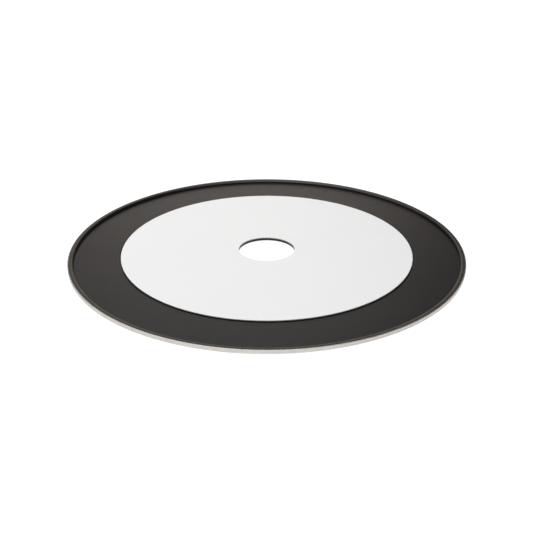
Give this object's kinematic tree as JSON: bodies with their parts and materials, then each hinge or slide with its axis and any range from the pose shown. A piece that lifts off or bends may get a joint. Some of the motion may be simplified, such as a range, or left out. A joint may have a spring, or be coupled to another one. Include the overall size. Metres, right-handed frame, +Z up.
{
  "type": "banding wheel",
  "caption": "Low banding wheel: a round dark turntable head with a raised rim, a white centre disc and a centre hole, on an open ring bearing with rubber feet.",
  "frame": {"origin": "centre of the object's footprint, on the table the feet stand on", "axes": "+Z up along the spin axis; +X and +Y lie in the table plane, with race_screw_1 and hub_rivet_1 on +X"},
  "size_m": [0.3, 0.3, 0.0244],
  "materials": {
    "dark_coating": "matte dark brown-black coating on aluminium, bare on the outer wall and underneath",
    "white_laminate": "smooth white compact laminate with a dark core at its edges",
    "bare_aluminium": "turned satin",
    "rivet_aluminium": "satin",
    "zinc_plated_steel": "bright zinc plate",
    "polished_steel": "polished",
    "nylon": "natural moulded nylon",
    "grey_felt": "dense pressed felt",
    "black_rubber": "matte moulded rubber"
  },
  "bodies": {
    "base": {"base_ring": "bare_aluminium", "outer_race_lower": "bare_aluminium", "outer_race_upper": "bare_aluminium", "dust_seal": "grey_felt", "race_screw_1": "zinc_plated_steel", "race_screw_2": "zinc_plated_steel", "race_screw_3": "zinc_plated_steel", "race_screw_4": "zinc_plated_steel", "race_screw_5": "zinc_plated_steel", "race_screw_6": "zinc_plated_steel", "foot_1": "black_rubber", "foot_2": "black_rubber", "foot_3": "black_rubber", "foot_4": "black_rubber", "foot_screw_1": "zinc_plated_steel", "foot_screw_2": "zinc_plated_steel", "foot_screw_3": "zinc_plated_steel", "foot_screw_4": "zinc_plated_steel"},
    "wheel": {"wheel_head": "dark_coating", "centre_insert": "white_laminate", "hub_ring": "bare_aluminium", "inner_race": "bare_aluminium", "hub_rivet_1": "rivet_aluminium", "hub_rivet_2": "rivet_aluminium", "hub_rivet_3": "rivet_aluminium", "hub_rivet_4": "rivet_aluminium", "hub_rivet_5": "rivet_aluminium", "hub_rivet_6": "rivet_aluminium", "hub_screw_1": "zinc_plated_steel", "hub_screw_2": "zinc_plated_steel", "hub_screw_3": "zinc_plated_steel", "hub_screw_4": "zinc_plated_steel", "hub_screw_5": "zinc_plated_steel", "hub_screw_6": "zinc_plated_steel"},
    "cage": {"ball_cage": "nylon", "ball_01": "polished_steel", "ball_02": "polished_steel", "ball_03": "polished_steel", "ball_04": "polished_steel", "ball_05": "polished_steel", "ball_06": "polished_steel", "ball_07": "polished_steel", "ball_08": "polished_steel", "ball_09": "polished_steel", "ball_10": "polished_steel", "ball_11": "polished_steel", "ball_12": "polished_steel", "ball_13": "polished_steel", "ball_14": "polished_steel", "ball_15": "polished_steel", "ball_16": "polished_steel", "ball_17": "polished_steel", "ball_18": "polished_steel", "ball_19": "polished_steel", "ball_20": "polished_steel"}
  },
  "joints": [
    {"name": "wheel_spin", "type": "hinge", "parent": "base", "child": "wheel", "pos_m": [0, 0, 0.01235], "axis": [0, 0, 1], "continuous": true},
    {"name": "cage_orbit", "type": "hinge", "parent": "base", "child": "cage", "pos_m": [0, 0, 0.01235], "axis": [0, 0, 1], "continuous": true}
  ],
  "couplings": [
    {"joint": "cage_orbit", "follows": "wheel_spin", "ratio": 0.4885}
  ]
}
